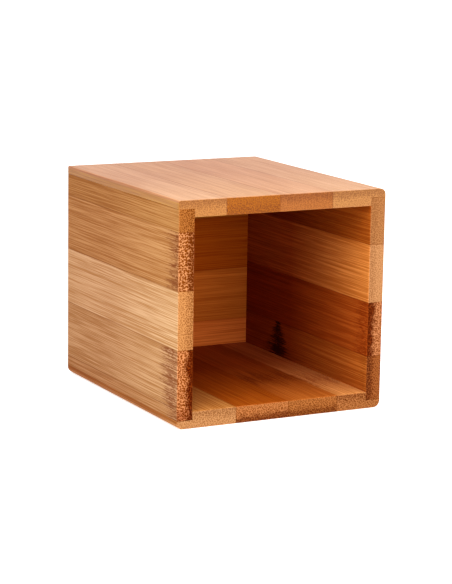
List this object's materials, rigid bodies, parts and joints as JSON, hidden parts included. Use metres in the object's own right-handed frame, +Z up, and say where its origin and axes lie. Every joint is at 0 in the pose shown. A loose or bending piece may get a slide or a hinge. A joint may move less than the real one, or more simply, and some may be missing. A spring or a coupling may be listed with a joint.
{
  "type": "desk pen holder",
  "caption": "Square open-ended box of edge-glued bamboo strips, closed at one end, that holds pens or small desk items standing up or lying down.",
  "frame": {"origin": "on the ground under the middle of the box, which lies on its bottom board", "axes": "+X across the open end to the right, +Y from the open end to the closed end, +Z up"},
  "size_m": [0.086, 0.1, 0.084],
  "materials": {
    "bamboo_light": "satin clear coat on sanded carbonised bamboo",
    "bamboo_honey": "satin clear coat on sanded carbonised bamboo",
    "bamboo_caramel": "satin clear coat on sanded carbonised bamboo",
    "bamboo_russet": "satin clear coat on sanded carbonised bamboo"
  },
  "bodies": {
    "root": {"top_board_strip_1": "bamboo_honey", "top_board_strip_2": "bamboo_caramel", "top_board_strip_3": "bamboo_russet", "top_board_strip_4": "bamboo_light", "bottom_board_strip_1": "bamboo_light", "bottom_board_strip_2": "bamboo_honey", "bottom_board_strip_3": "bamboo_russet", "bottom_board_strip_4": "bamboo_caramel", "left_board_strip_1": "bamboo_caramel", "left_board_strip_2": "bamboo_honey", "left_board_strip_3": "bamboo_light", "left_board_strip_4": "bamboo_honey", "left_board_strip_5": "bamboo_russet", "right_board_strip_1": "bamboo_caramel", "right_board_strip_2": "bamboo_light", "right_board_strip_3": "bamboo_russet", "right_board_strip_4": "bamboo_russet", "back_panel_strip_1": "bamboo_caramel", "back_panel_strip_2": "bamboo_caramel", "back_panel_strip_3": "bamboo_honey", "back_panel_strip_4": "bamboo_honey"}
  },
  "joints": []
}
